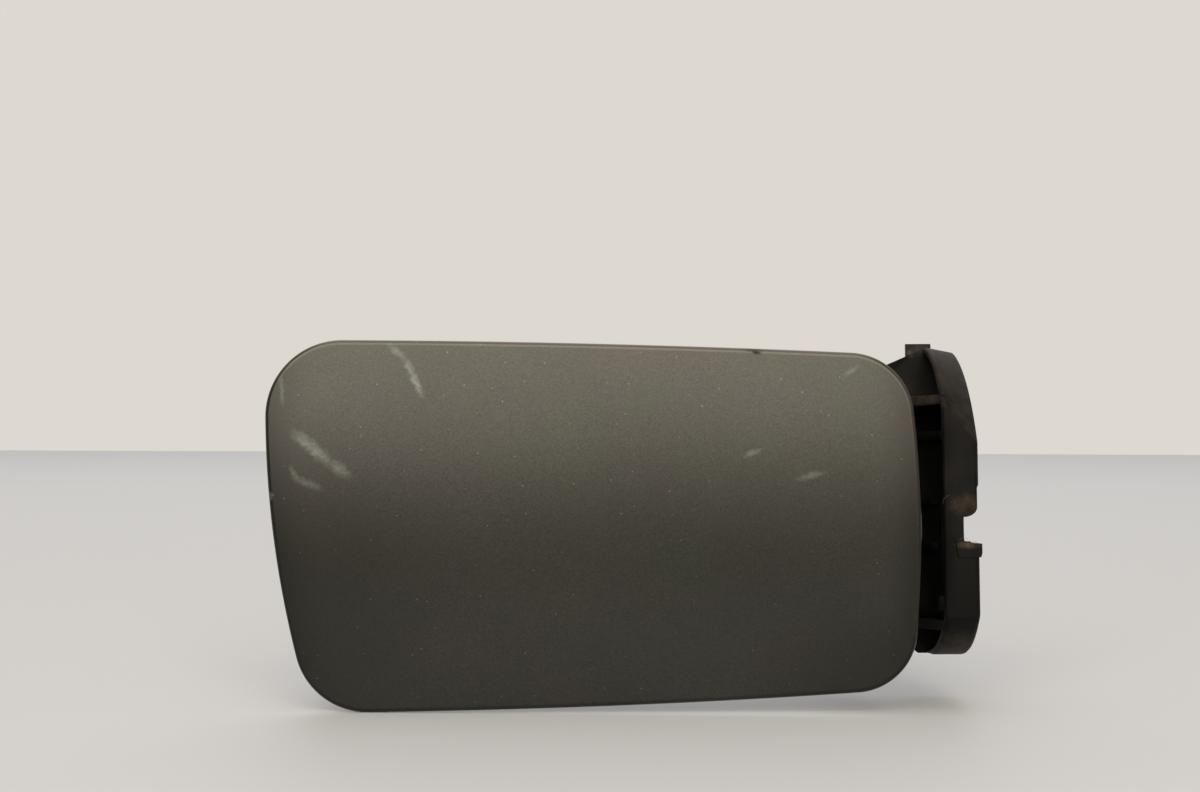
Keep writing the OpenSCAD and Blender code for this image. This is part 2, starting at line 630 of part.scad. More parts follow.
// Latch tongue with the hole for the lock's pin
tongue_in = 24;
tongue_x = latch_x + tongue_in;
tongue_z = -flap_drop;
tongue_w = 16;
base_t = 2.5;
base_r = 3;
latch_screw_r = 1.7;
latch_screw_in = 4.5;
latch_screw_z = [tongue_z - tongue_h / 2 + latch_screw_in, tongue_z + tongue_h / 2 - latch_screw_in];
tongue_t = 4;
tongue_ring = 2.6;
gusset_t = 2;
gusset_h = 8;
gusset_in = 2.5;
module latch_screw_places() {
    for (z = latch_screw_z) translate([tongue_x + tongue_w / 2, 0, z]) children();
}
module latch_tongue() {
    tip_r = latch_r + tongue_ring;
    color(black_plastic) difference() {
        union() {
            translate([tongue_x, panel_back, tongue_z]) rotate([-90, 0, 0]) linear_extrude(base_t)
                rounded([tongue_w, tongue_h], base_r);
            translate([tongue_x + tongue_w / 2 - tongue_t / 2, panel_back + tongue_l - tip_r, tongue_z])
                rotate([0, 90, 0]) cylinder(r = tip_r, h = tongue_t);
            translate([tongue_x + tongue_w / 2 - tongue_t / 2, panel_back, tongue_z - tip_r])
                cube([tongue_t, tongue_l - tip_r, 2 * tip_r]);
            translate([tongue_x, panel_back, tongue_z - gusset_t / 2]) linear_extrude(gusset_t)
                polygon([[gusset_in, 0], [tongue_w - gusset_in, 0],
                    [tongue_w - 2 * gusset_in, gusset_h], [2 * gusset_in, gusset_h]]);
        }
        translate([tongue_x, panel_back + tongue_l - tip_r, tongue_z]) rotate([0, 90, 0])
            cylinder(r = latch_r, h = tongue_w);
        latch_screw_places() along_y(panel_back + base_t, latch_screw_r + 0.15, base_t + cut);
    }
}
module latch_screw(i) {
    color(zinc) translate([tongue_x + tongue_w / 2, 0, latch_screw_z[i]]) {
        rod_y(panel_back - panel_t - 2, latch_screw_r, panel_t + base_t + 2 + bite);
        translate([0, panel_back + base_t, 0]) rotate([-90, 0, 0]) rotate_extrude()
            polygon([[0, 0], [3.2, 0], [2.9, 1.1], [1.6, 1.8], [0, 1.8]]);
    }
}

// Rubber buffers at the latch side
buffer_hole_r = 3;
buffer_in = 25.5;
buffer_down = 31;
buffer_up = 34;
buffer_x = [latch_x + latch_slant + buffer_in, latch_x + buffer_in];
buffer_z = [-flap_drop - buffer_down, -flap_drop + buffer_up];
module buffer_places() {
    for (i = [0, 1]) translate([buffer_x[i], 0, buffer_z[i]]) children();
}
module buffer(i) {
    neck = buffer_hole_r - seat;
    color(black_rubber) translate([buffer_x[i], panel_back, buffer_z[i]]) rotate([-90, 0, 0]) rotate_extrude()
        polygon([[0, -panel_t - 3], [1.6, -panel_t - 3], [neck + 0.9, -panel_t - 0.4],
            [neck + 0.9, -panel_t - seat], [neck, -panel_t - seat], [neck, seat],
            [buffer_r, seat], [buffer_r, buffer_h - 2],
            [buffer_r - 2, buffer_h], [0, buffer_h]]);
}

// Hook that holds the filler cap while the tank is filled
cap_x = face_mid[0] + 10;
cap_z = -flap_drop + 4;
cap_rivets = 16;
cap_margin = 5;
cap_base_t = 2;
cap_w = 8;
// The hook's outer block, and the slot that takes the cap's strap
hook = [12, 16];
hook_low = 7;
slot_w = 5.5;
slot_in = 5;
module cap_rivet_places() {
    for (s = [-1, 1]) translate([cap_x + s * cap_rivets / 2, 0, cap_z]) children();
}
module cap_holder() {
    base_y = panel_back - recess_depth;
    color(black_plastic) difference() {
        union() {
            translate([cap_x - cap_rivets / 2 - cap_margin, base_y, cap_z]) rotate([-90, 0, 0])
                linear_extrude(cap_base_t)
                    rounded([cap_rivets + 2 * cap_margin, 2 * hook_low], cap_margin - 1);
            translate([cap_x - cap_w / 2, base_y, cap_z]) rotate([90, 0, 90]) linear_extrude(cap_w)
                difference() {
                    translate([cap_base_t, -hook_low]) square(hook);
                    translate([slot_in, -1]) square([slot_w, hook[1]]);
                    translate([slot_in + slot_w / 2, -1]) circle(slot_w / 2);
                }
        }
        cap_rivet_places() along_y(base_y + cap_base_t, rivet_r + seat, cap_base_t + cut);
    }
}
module cap_rivet(i) {
    base_y = panel_back - recess_depth;
    color(zinc) translate([cap_x + (i * 2 - 1) * cap_rivets / 2, 0, cap_z]) {
        rod_y(base_y - panel_t - bite, rivet_r, panel_t + cap_base_t + 2 * bite);
        rod_y(base_y + cap_base_t, rivet_r * 2, 0.9);
        rod_y(base_y - panel_t - 0.6, rivet_r * 1.6, 0.6);
    }
}

hinge_box();
hinge_pin(upper_end, upper_seat);  // hinge_pin_upper
hinge_pin(lower_seat, lower_end);  // hinge_pin_lower
pin_clip(upper_end + 0.5);  // pin_clip_upper
pin_clip(lower_end - 0.5 - clip_t);  // pin_clip_lower
leaf_spring();
spring_rivet();
stop_buffer();
outer_skin();
inner_panel();
hinge_plate();
gooseneck_arm();
arm_screw(0);  // arm_screw_1
arm_screw(1);  // arm_screw_2
arm_screw(2);  // arm_screw_3
arm_screw(3);  // arm_screw_4
weld_nut(0);  // weld_nut_1
weld_nut(1);  // weld_nut_2
weld_nut(2);  // weld_nut_3
weld_nut(3);  // weld_nut_4
latch_tongue();
latch_screw(0);  // latch_screw_1
latch_screw(1);  // latch_screw_2
buffer(0);  // buffer_lower
buffer(1);  // buffer_upper
cap_holder();
cap_rivet(0);  // cap_rivet_1
cap_rivet(1);  // cap_rivet_2
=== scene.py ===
import bpy
import bmesh
import json
import math
from mathutils import Euler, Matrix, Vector

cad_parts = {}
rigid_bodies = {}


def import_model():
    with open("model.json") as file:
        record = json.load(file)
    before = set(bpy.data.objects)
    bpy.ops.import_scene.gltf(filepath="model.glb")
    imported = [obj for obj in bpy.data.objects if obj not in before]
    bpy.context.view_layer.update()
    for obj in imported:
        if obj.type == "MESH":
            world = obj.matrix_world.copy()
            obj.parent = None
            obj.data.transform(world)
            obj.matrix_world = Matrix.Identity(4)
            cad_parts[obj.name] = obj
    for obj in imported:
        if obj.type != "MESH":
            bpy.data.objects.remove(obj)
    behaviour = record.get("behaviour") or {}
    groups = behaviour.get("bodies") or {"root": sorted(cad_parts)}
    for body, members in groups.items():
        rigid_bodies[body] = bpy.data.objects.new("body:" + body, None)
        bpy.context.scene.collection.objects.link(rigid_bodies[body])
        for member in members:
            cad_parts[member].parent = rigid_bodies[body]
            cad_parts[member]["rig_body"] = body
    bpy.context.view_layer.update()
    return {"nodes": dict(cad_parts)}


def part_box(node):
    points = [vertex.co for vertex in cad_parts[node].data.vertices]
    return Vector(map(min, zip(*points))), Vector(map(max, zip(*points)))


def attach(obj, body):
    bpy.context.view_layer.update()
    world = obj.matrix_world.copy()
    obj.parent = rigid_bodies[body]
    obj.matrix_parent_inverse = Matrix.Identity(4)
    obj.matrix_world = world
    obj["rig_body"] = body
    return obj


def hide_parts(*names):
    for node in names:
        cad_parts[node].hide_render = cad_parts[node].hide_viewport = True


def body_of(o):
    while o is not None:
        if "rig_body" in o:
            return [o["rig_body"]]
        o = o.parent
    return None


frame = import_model()
mm = 0.001
print("frame loaded:", len(frame["nodes"]), "nodes")


# small helpers

def hexToLinear(hexColour):
    channels = [int(hexColour[i:i + 2], 16) / 255 for i in (1, 3, 5)]
    return [c / 12.92 if c <= 0.04045 else ((c + 0.055) / 1.055) ** 2.4 for c in channels] + [1.0]


def addNode(tree, kind, settings=None, ordered=(), **named):
    # one node with its settings; each input is linked to a socket, or set to a value or a hex colour
    made = tree.nodes.new(kind)
    for key, value in (settings or {}).items():
        setattr(made, key, value)
    inputs = list(enumerate(ordered)) + [(key.replace("_", " "), value) for key, value in named.items()]
    for key, value in inputs:
        if isinstance(value, bpy.types.NodeSocket):
            tree.links.new(value, made.inputs[key])
        else:
            made.inputs[key].default_value = hexToLinear(value) if isinstance(value, str) else value
    return made


def newMaterial(name):
    made = bpy.data.materials.new(name)
    made.use_nodes = True
    made.node_tree.nodes.clear()
    return made, made.node_tree


def newObject(name, data):
    made = bpy.data.objects.new(name, data)
    bpy.context.scene.collection.objects.link(made)
    return made


def meshObject(name, points, faces, material):
    mesh = bpy.data.meshes.new(name)
    mesh.from_pydata(points, [], faces)
    mesh.materials.append(material)
    return newObject(name, mesh)


def smoothFaces(mesh):
    for polygon in mesh.polygons:
        polygon.use_smooth = True


def applyModifiers(piece):
    # what its modifiers make of the piece, kept as a plain mesh
    shown = piece.evaluated_get(bpy.context.evaluated_depsgraph_get())
    piece.data = bpy.data.meshes.new_from_object(shown)
    piece.modifiers.clear()


def softenedCopy(nodeName, material, edgeWidth, sharpAngle):
    # a CAD node with its loose triangles merged and its hard edges broken, as a mould leaves them
    mergeWithin, flatWithin = 0.002 * mm, math.radians(0.6)
    source = frame["nodes"][nodeName]
    body = body_of(source)[0]
    shape = bmesh.new()
    shape.from_mesh(source.data)
    bmesh.ops.remove_doubles(shape, verts=shape.verts, dist=mergeWithin)
    bmesh.ops.dissolve_limit(shape, angle_limit=flatWithin, verts=shape.verts, edges=shape.edges)
    mesh = bpy.data.meshes.new(nodeName + "_finish")
    shape.to_mesh(mesh)
    shape.free()
    mesh.materials.append(material)
    piece = newObject(mesh.name, mesh)
    smoothFaces(mesh)
    if edgeWidth:
        bevel = piece.modifiers.new("edges", "BEVEL")
        bevel.width = edgeWidth
        bevel.segments = 2
        bevel.limit_method = "ANGLE"
        bevel.angle_limit = math.radians(sharpAngle)
        bevel.use_clamp_overlap = True
        applyModifiers(piece)
    piece.data.set_sharp_from_angle(angle=math.radians(sharpAngle))
    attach(piece, body)
    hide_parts(nodeName)
    return piece


# the flap's outer sheet: the same outline rule as the model, in finer steps

flap = {
    "cornerRadii": (23.4, 20.6, 21.4, 24.6),  # lower latch, lower hinge, upper hinge, upper latch
    "edgeRadii": (2750, 380, 4000, 350),      # bottom, hinge, top, latch
    "latchHeight": 120.3,
    "hingeHeight": 109.9,
    "latchSlant": 9.4,
    "hingeBow": 1.6,
    "faceRadius": 800,
    "sheet": 0.9,
    "hemRadius": 1.5,
    "hemWidth": 9.0,
    "hemLip": (0.3, 0.25),  # how the hem's cut edge is broken
    "cornerSteps": 40,
    "edgeSteps": 44,
    "rollSteps": 18,        # round the outside of the hem
    "gapSteps": 6,          # round the inside
    "innerInset": 17,
    "innerRows": 36,        # rings from the middle to the inner inset
    "rimInsets": (17, 15.5, 14, 12.5, 11, 9.5, 8, 6.5, 5, 3.8, 2.7, 1.8),
    "backShrinks": (1.0, 0.6, 0.25),
    "grimeWidth": 14,       # the film of grime along the hinge and latch edges
    "highlightStep": 3,        # the step of the roll where the rim's painted highlight is strongest
    "highlightReach": 4,
}
skinLow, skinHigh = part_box("outer_skin")
latchX, hingeX = skinLow.x / mm, skinHigh.x / mm
faceY = skinLow.y / mm
flapMiddleZ = (skinLow.z + skinHigh.z) / 2 / mm


def cornerCentres():
    radii = flap["cornerRadii"]
    halfLatch, halfHinge = flap["latchHeight"] / 2, flap["hingeHeight"] / 2
    cornerX = hingeX - flap["hingeBow"]
    return [
        Vector((latchX + flap["latchSlant"] + radii[0], flapMiddleZ - halfLatch + radii[0])),
        Vector((cornerX - radii[1], flapMiddleZ - halfHinge + radii[1])),
        Vector((cornerX - radii[2], flapMiddleZ + halfHinge - radii[2])),
        Vector((latchX + radii[3], flapMiddleZ + halfLatch - radii[3])),
    ]


def bowCentre(first, second, firstRadius, secondRadius, bow):
    # centre of the wide arc that touches both corner circles from outside them
    a, b = bow - firstRadius, bow - secondRadius
    gap = second - first
    along = (a * a - b * b + gap.length_squared) / (2 * gap.length)
    unit = gap.normalized()
    return first + unit * along + Vector((-unit.y, unit.x)) * math.sqrt(a * a - along * along)


def flapOutline(inset):
    centres, radii, bows = cornerCentres(), flap["cornerRadii"], flap["edgeRadii"]
    bowAt = [bowCentre(centres[i], centres[(i + 1) % 4], radii[i], radii[(i + 1) % 4], bows[i]) for i in range(4)]
    points = []

    def addArc(centre, radius, start, end, steps):
        sweep = (end - start) % (2 * math.pi)
        for step in range(steps):
            angle = start + sweep * step / steps
            points.append(centre + radius * Vector((math.cos(angle), math.sin(angle))))

    def heading(v):
        return math.atan2(v.y, v.x)

    for i in range(4):
        start = heading(centres[i] - bowAt[i - 1])
        end = heading(centres[i] - bowAt[i])
        following = heading(centres[(i + 1) % 4] - bowAt[i])
        addArc(centres[i], radii[i] - inset, start, end, flap["cornerSteps"])
        addArc(bowAt[i], bows[i] - inset, end, following, flap["edgeSteps"])
    return points


def faceDepth(point):
    return faceY + (point.y - flapMiddleZ) ** 2 / (2 * flap["faceRadius"])


def makeOuterSkin(material):
    hem, sheet, hemWidth = flap["hemRadius"], flap["sheet"], flap["hemWidth"]
    lipAcross, lipDeep = flap["hemLip"]
    middle = Vector(((latchX + hingeX) / 2, flapMiddleZ))
    rings = []

    # which way the outline faces: grime gathers at its two ends, the top of its rim gets a painted highlight
    facing = [(a - b).normalized() for a, b in zip(flapOutline(0), flapOutline(1))]
    sideways = [side.x ** 2 for side in facing]
    # on top it fades out round the corners, sooner at the latch end
    topmost = [min(1.0, max(0.0, (side.y + 0.3 * side.x - 0.1) / 0.4)) for side in facing]
    edgeShare, rimShare = [0.0], [0.0]

    def addRing(inset, depth, shrink=1.0, rim=0.0):
        rings.append([(middle + (p - middle) * shrink, depth) for p in flapOutline(inset)])
        near = max(0.0, 1 - inset / flap["grimeWidth"])
        edgeShare.extend(side * near ** 1.5 for side in sideways)
        rimShare.extend(side * rim for side in topmost)

    # the face, then round the hem, back inside it, and across the back
    for row in range(1, flap["innerRows"]):
        addRing(flap["innerInset"], 0, row / flap["innerRows"])
    for inset in flap["rimInsets"]:
        addRing(inset, 0)
    for step in range(flap["rollSteps"] + 1):
        turn = math.pi * step / flap["rollSteps"]
        # the painted highlight is strongest on the upper side of the roll
        highlit = min(1.0, max(0.0, 1.2 - abs(step - flap["highlightStep"]) / flap["highlightReach"]))
        addRing(hem - hem * math.sin(turn), hem - hem * math.cos(turn), rim=highlit)
    addRing(hemWidth - lipAcross, 2 * hem)
    addRing(hemWidth, 2 * hem - lipDeep)
    addRing(hemWidth, 2 * hem - sheet)
    gapRadius = hem - sheet
    for step in range(flap["gapSteps"], -1, -1):
        turn = math.pi * step / flap["gapSteps"]
        addRing(hem - gapRadius * math.sin(turn), hem - gapRadius * math.cos(turn))
    for shrink in flap["backShrinks"]:
        addRing(flap["innerInset"], sheet, shrink)

    count = len(rings[0])
    points = [(middle.x * mm, faceY * mm, middle.y * mm)]
    for ring in rings:
        points += [(p.x * mm, (faceDepth(p) + depth) * mm, p.y * mm) for p, depth in ring]
    points.append((middle.x * mm, (faceY + sheet) * mm, middle.y * mm))
    faces = [(0, 1 + (i + 1) % count, 1 + i) for i in range(count)]
    for j in range(len(rings) - 1):
        for i in range(count):
            a, b = 1 + j * count + i, 1 + j * count + (i + 1) % count
            faces.append((a, b, b + count, a + count))
    last = 1 + (len(rings) - 1) * count
    faces += [(last + i, last + (i + 1) % count, len(points) - 1) for i in range(count)]

    piece = meshObject("flapSkin", points, faces, material)
    piece.data.validate()
    smoothFaces(piece.data)
    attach(piece, "flap")
    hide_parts("outer_skin")
    for name, share in (("edge", edgeShare), ("rim", rimShare)):
        layer = piece.data.attributes.new(name, "FLOAT", "POINT")
        layer.data.foreach_set("value", share + [0.0])
    return piece


# camera and the photograph's places

photo = {
    "wide": 1200,
    "high": 792,
    "focal": 1860,          # in pixels of the photograph
    "eyeX": -95.5,          # where the camera stands, in mm
    "eyeZ": 4.0,
    "distance": 600.0,      # from the flap's face
    "pitch": 2.83,          # the camera looks up this much, in degrees
    "roll": -0.38,          # and was not held quite level
    "sensor": 36,
    "clip": (0.01, 20),     # in metres
}


def cameraTurn():
    return Euler((math.radians(90 + photo["pitch"]), 0, math.radians(photo["roll"])), "ZYX")


def photoPoint(px, py):
    # where a pixel's ray meets the flap's face
    across = (px - photo["wide"] / 2) / photo["focal"]
    down = (py - photo["high"] / 2) / photo["focal"]
    ray = cameraTurn().to_matrix() @ Vector((across, -down, -1))
    reach = photo["distance"] / ray.y
    return Vector((photo["eyeX"] + ray.x * reach, photo["eyeZ"] + ray.z * reach))


def makeCamera():
    data = bpy.data.cameras.new("photoCamera")
    data.sensor_width = photo["sensor"]
    data.lens = photo["focal"] / photo["wide"] * data.sensor_width
    data.clip_start, data.clip_end = photo["clip"]
    camera = newObject("photoCamera", data)
    camera.location = (photo["eyeX"] * mm, (faceY - photo["distance"]) * mm, photo["eyeZ"] * mm)
    camera.rotation_mode = "ZYX"
    camera.rotation_euler = cameraTurn()
    bpy.context.scene.camera = camera


# where the wear and the dirt are

# scuffs of the flap, by the photograph's pixels: from, to, half width in mm, strength
scuffs = [
    ((390, 346), (403, 357), 1.2, 0.375),
    ((406, 361), (413, 376), 1.3, 0.4875),
    ((411, 372), (420, 392), 1.2, 0.7125),
    ((280, 378), (282, 402), 0.8, 0.255),
    ((298, 436), (316, 451), 2.2, 0.525),
    ((310, 446), (326, 459), 2.1, 0.525),
    ((332, 464), (345, 473), 1.9, 0.4125),
    ((291, 468), (298, 480), 1.0, 0.315),
    ((297, 479), (317, 487), 1.5, 0.3),
    ((746, 455), (759, 451), 0.9, 0.375),
    ((801, 478), (822, 473), 1.1, 0.375),
    ((847, 374), (857, 367), 1.0, 0.285),
    ((270, 494), (271, 497), 0.7, 0.75),
]

# the stone chip on the top rim, as the scuffs: its stain, and the chip itself
rustChips = [
    ((743, 349), (764, 350), 0.8, 0.45),
    ((753, 351.3), (760, 352.3), 0.8, 0.825),
]

# where road film has dulled the paint: centre and reach in mm, strength
roadFilm = [
    ((-200, -42, -34), (52, 22, 54), 0.42),    # the latch end
    ((-4, -42, -60), (40, 22, 26), 0.55),      # the lower hinge corner
]

# where dirt lies on the housing, in the same way, and one patch of painted bounce light; crumbs lie on the first few
# of these
housingDirtAndLight = [
    ((22.5, -38, -2.5), (5.5, 4, 4.5), 0.5),   # above the notch
    ((24, -38, -15.2), (5, 4, 1.3), 1.0),      # the lug's top
    ((9, -24, 32.6), (8, 22, 2.2), 1.0),       # the upper shelf
    ((8, -20, 38), (9, 20, 5), 0.8),           # the wall above it
    ((11.4, -3, 49.6), (1.6, 3, 1.6), 1.0),    # a spot on the tab
    ((15, -3, 51.5), (6, 4, 3), 0.4),
    ((23, -16, 47), (8, 16, 6), 0.12),         # the roof
    ((22, -26, -48), (9, 14, 6), 0.4),         # the underside's curve: painted bounce light from the table below, in the dust colour
]
crumbPatches = 4

# painted shade: the inside of the housing about the pins is coloured black
insideShadeSpots = [
    ((9, -29, 18), (11, 17, 14), 1.0),
    ((9, -29, -18), (11, 18, 28), 0.95),
]


def strongest(tree, masks):
    total = masks[0]
    for mask in masks[1:]:
        total = addNode(tree, "ShaderNodeMath", {"operation": "MAXIMUM"}, [total, mask]).outputs[0]
    return total


def spotMask(tree, place, spot):
    # one soft patch: whole within 0.3 of its reach, gone at 1.3
    centre, reach, strength = spot
    offset = addNode(tree, "ShaderNodeVectorMath", {"operation": "SUBTRACT"}, [place, [c * mm for c in centre]])
    scaled = addNode(tree, "ShaderNodeVectorMath", {"operation": "DIVIDE"},
                     [offset.outputs[0], [r * mm for r in reach]])
    away = addNode(tree, "ShaderNodeVectorMath", {"operation": "LENGTH"}, [scaled.outputs[0]])
    soft = addNode(tree, "ShaderNodeMapRange", {"interpolation_type": "SMOOTHSTEP"}, Value=away.outputs["Value"],
                   From_Min=0.3, From_Max=1.3, To_Min=strength, To_Max=0.0)
    return soft.outputs[0]


def raggedPlace(tree, place, size, reach):
    # the same coordinates pushed about a little, so edges drawn with them are not smooth
    noise = addNode(tree, "ShaderNodeTexNoise", Vector=place, Scale=1 / (size * mm), Detail=4.0)
    centred = addNode(tree, "ShaderNodeVectorMath", {"operation": "SUBTRACT"}, [noise.outputs["Color"], (0.5,) * 3])
    scaled = addNode(tree, "ShaderNodeVectorMath", {"operation": "SCALE"}, [centred.outputs[0]], Scale=reach * mm)
    return addNode(tree, "ShaderNodeVectorMath", {"operation": "ADD"}, [place, scaled.outputs[0]]).outputs[0]


def strokeMask(tree, place, stroke, softness=(0.0, 1.45), deep=2.4):
    # a soft ellipse over the stroke, streaked along its length
    first, second, wide, strength = stroke
    a, b = photoPoint(*first), photoPoint(*second)
    middle, run = (a + b) / 2, b - a
    own = addNode(tree, "ShaderNodeMapping", {"vector_type": "TEXTURE"}, Vector=place,
                  Location=(middle.x * mm, faceDepth(middle) * mm, middle.y * mm),
                  Rotation=(0, -math.atan2(run.y, run.x), 0),
                  Scale=((run.length / 2 + wide) * mm, deep * mm, wide * mm))
    away = addNode(tree, "ShaderNodeVectorMath", {"operation": "LENGTH"}, [own.outputs[0]])
    soft = addNode(tree, "ShaderNodeMapRange", {"interpolation_type": "SMOOTHSTEP"}, Value=away.outputs["Value"],
                   From_Min=softness[0], From_Max=softness[1], To_Min=strength, To_Max=0.0)
    streaks = addNode(tree, "ShaderNodeTexNoise", Vector=own.outputs[0], Scale=2.2, Detail=5.0, Roughness=0.6)
    broken = addNode(tree, "ShaderNodeMapRange", Value=streaks.outputs["Fac"],
                     From_Min=0.3, From_Max=0.62, To_Min=0.35)
    both = addNode(tree, "ShaderNodeMath", {"operation": "MULTIPLY"}, [soft.outputs[0], broken.outputs[0]])
    return both.outputs[0]


# materials

def metallicPaint():
    # metallic base coat under lacquer, faded: dark grey-green with a fine silver fleck
    material, tree = newMaterial("metallicPaint")
    place = addNode(tree, "ShaderNodeTexCoord").outputs["Object"]
    # the fleck is drawn coarser than real flake, so it shows in the picture
    fleck = addNode(tree, "ShaderNodeTexVoronoi", Vector=place, Scale=1 / (0.33 * mm))
    fleckPart = addNode(tree, "ShaderNodeSeparateColor", Color=fleck.outputs["Color"]).outputs
    fleckTone = addNode(tree, "ShaderNodeMapRange", Value=fleckPart["Red"], To_Min=0.76, To_Max=1.24)
    cloud = addNode(tree, "ShaderNodeTexNoise", Vector=place, Scale=1 / (28 * mm), Detail=4.0)
    cloudTone = addNode(tree, "ShaderNodeMapRange", Value=cloud.outputs["Fac"],
                        From_Min=0.3, From_Max=0.7, To_Min=0.94, To_Max=1.06)
    tone = addNode(tree, "ShaderNodeMath", {"operation": "MULTIPLY"}, [fleckTone.outputs[0], cloudTone.outputs[0]])
    drift = addNode(tree, "ShaderNodeTexNoise", Vector=place, Scale=1 / (40 * mm), Detail=5.0, Roughness=0.6)
    hue = addNode(tree, "ShaderNodeMapRange", Value=drift.outputs["Fac"], From_Min=0.35, From_Max=0.65).outputs[0]
    base = addNode(tree, "ShaderNodeMix", {"data_type": "RGBA"}, Factor=hue, A="#2c2d27", B="#2e2c29")
    paint = addNode(tree, "ShaderNodeMix", {"data_type": "RGBA", "blend_type": "MULTIPLY"},
                    Factor=1.0, A=base.outputs["Result"], B=tone.outputs[0]).outputs["Result"]

    filmAndShade = strongest(tree, [spotMask(tree, place, spot) for spot in roadFilm])
    edge = addNode(tree, "ShaderNodeAttribute", {"attribute_name": "edge"}).outputs["Fac"]
    grime = addNode(tree, "ShaderNodeMath", {"operation": "MULTIPLY"}, [edge, 0.9]).outputs[0]
    rim = addNode(tree, "ShaderNodeAttribute", {"attribute_name": "rim"}).outputs["Fac"]
    rimTone = addNode(tree, "ShaderNodeMix", {"data_type": "RGBA"}, Factor=hue, A="#3f3e37", B="#463c36")
    ragged = raggedPlace(tree, place, 1.6, 2.6)
    scuff = strongest(tree, [strokeMask(tree, ragged, stroke) for stroke in scuffs])
    # dust specks, sparse and well under a millimetre
    own = addNode(tree, "ShaderNodeSeparateXYZ", Vector=place).outputs
    flat = addNode(tree, "ShaderNodeCombineXYZ", X=own["X"], Y=own["Z"])
    specks = addNode(tree, "ShaderNodeTexVoronoi", {"voronoi_dimensions": "2D"},
                     Vector=flat.outputs[0], Scale=1 / (11 * mm))
    speckMask = addNode(tree, "ShaderNodeMapRange", Value=specks.outputs["Distance"],
                        From_Min=0.01, From_Max=0.025, To_Min=0.38, To_Max=0.0)
    speckTone = addNode(tree, "ShaderNodeSeparateColor", Color=specks.outputs["Color"]).outputs["Blue"]
    speck = addNode(tree, "ShaderNodeMath", {"operation": "MULTIPLY"}, [speckMask.outputs[0], speckTone]).outputs[0]
    flaked = raggedPlace(tree, place, 0.8, 0.8)
    rust = strongest(tree, [strokeMask(tree, flaked, stroke, (0.3, 1.2), 9) for stroke in rustChips])

    layers = (
        (filmAndShade, "#191812"),                      # road film: duller
        (grime, "#16150f"),                     # grime along the hinge and latch edges: olive
        (rim, rimTone.outputs["Result"]),       # the rim's top: a painted highlight, brownish
        (scuff, "#6f736d"),                     # lacquer rubbed pale
        (speck, "#8a887c"),
        (rust, "#332012"),                      # the stone chip
    )
    for share, colour in layers:
        over = addNode(tree, "ShaderNodeMix", {"data_type": "RGBA"}, Factor=share, A=paint, B=colour)
        paint = over.outputs["Result"]

    # a chip is bare of metal flake and of lacquer
    metal = addNode(tree, "ShaderNodeMapRange", Value=rust, To_Min=0.9, To_Max=0.0)
    lacquer = addNode(tree, "ShaderNodeMapRange", Value=rust, From_Max=0.5, To_Min=0.35, To_Max=0.0)
    shine = addNode(tree, "ShaderNodeMapRange", Value=rust, From_Max=0.5, To_Min=0.5, To_Max=0.05)
    roughness = addNode(tree, "ShaderNodeMapRange", Value=strongest(tree, [scuff, rust]), To_Min=0.3, To_Max=0.6)
    bump = addNode(tree, "ShaderNodeBump", Height=fleckPart["Green"], Strength=0.12, Distance=0.02 * mm)
    shader = addNode(tree, "ShaderNodeBsdfPrincipled", Base_Color=paint, Metallic=metal.outputs[0],
                     Roughness=roughness.outputs[0], Specular_IOR_Level=shine.outputs[0],
                     Coat_Weight=lacquer.outputs[0], Coat_Roughness=0.25, Normal=bump.outputs[0])
    addNode(tree, "ShaderNodeOutputMaterial", Surface=shader.outputs[0])
    return material


def overspray():
    # the same base coat blown thinly over the inside, without lacquer: flatter and uneven
    material, tree = newMaterial("overspray")
    place = addNode(tree, "ShaderNodeTexCoord").outputs["Object"]
    patches = addNode(tree, "ShaderNodeTexNoise", Vector=place, Scale=1 / (18 * mm), Detail=5.0)
    grain = addNode(tree, "ShaderNodeTexNoise", Vector=place, Scale=1 / (0.6 * mm))
    colour = addNode(tree, "ShaderNodeMix", {"data_type": "RGBA"},
                     Factor=patches.outputs["Fac"], A="#4c4b43", B="#6a6960")
    bump = addNode(tree, "ShaderNodeBump", Height=grain.outputs["Fac"], Strength=0.25, Distance=0.05 * mm)
    shader = addNode(tree, "ShaderNodeBsdfPrincipled", Base_Color=colour.outputs["Result"],
                     Metallic=0.35, Roughness=0.55, Normal=bump.outputs[0])
    addNode(tree, "ShaderNodeOutputMaterial", Surface=shader.outputs[0])
    return material


